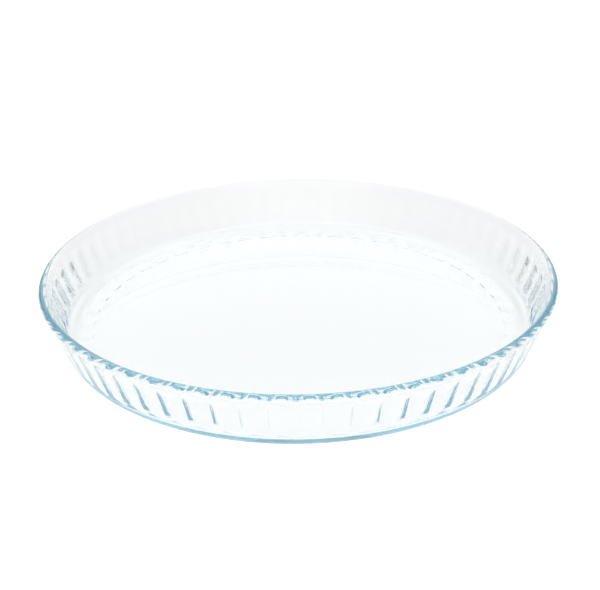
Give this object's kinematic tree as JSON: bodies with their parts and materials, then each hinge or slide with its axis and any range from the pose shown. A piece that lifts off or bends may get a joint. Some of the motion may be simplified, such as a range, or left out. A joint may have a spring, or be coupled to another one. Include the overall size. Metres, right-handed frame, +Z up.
{
  "type": "glass pizza pan",
  "caption": "Round shallow baking pan of clear pressed glass with a flat floor, a flared fluted wall and a round bead rim, for baking and serving pizza, flan or tart.",
  "frame": {"origin": "centre of the foot ring, on the surface that the pan stands on", "axes": "+Z up along the axis of the pan; +X and +Y each pass through a ridge between two flutes of the wall"},
  "size_m": [0.3, 0.3, 0.0366],
  "materials": {
    "clear_glass": "clear, fire-polished, faintly blue where thick"
  },
  "bodies": {
    "root": {"fluted_pan": "clear_glass"}
  },
  "joints": []
}
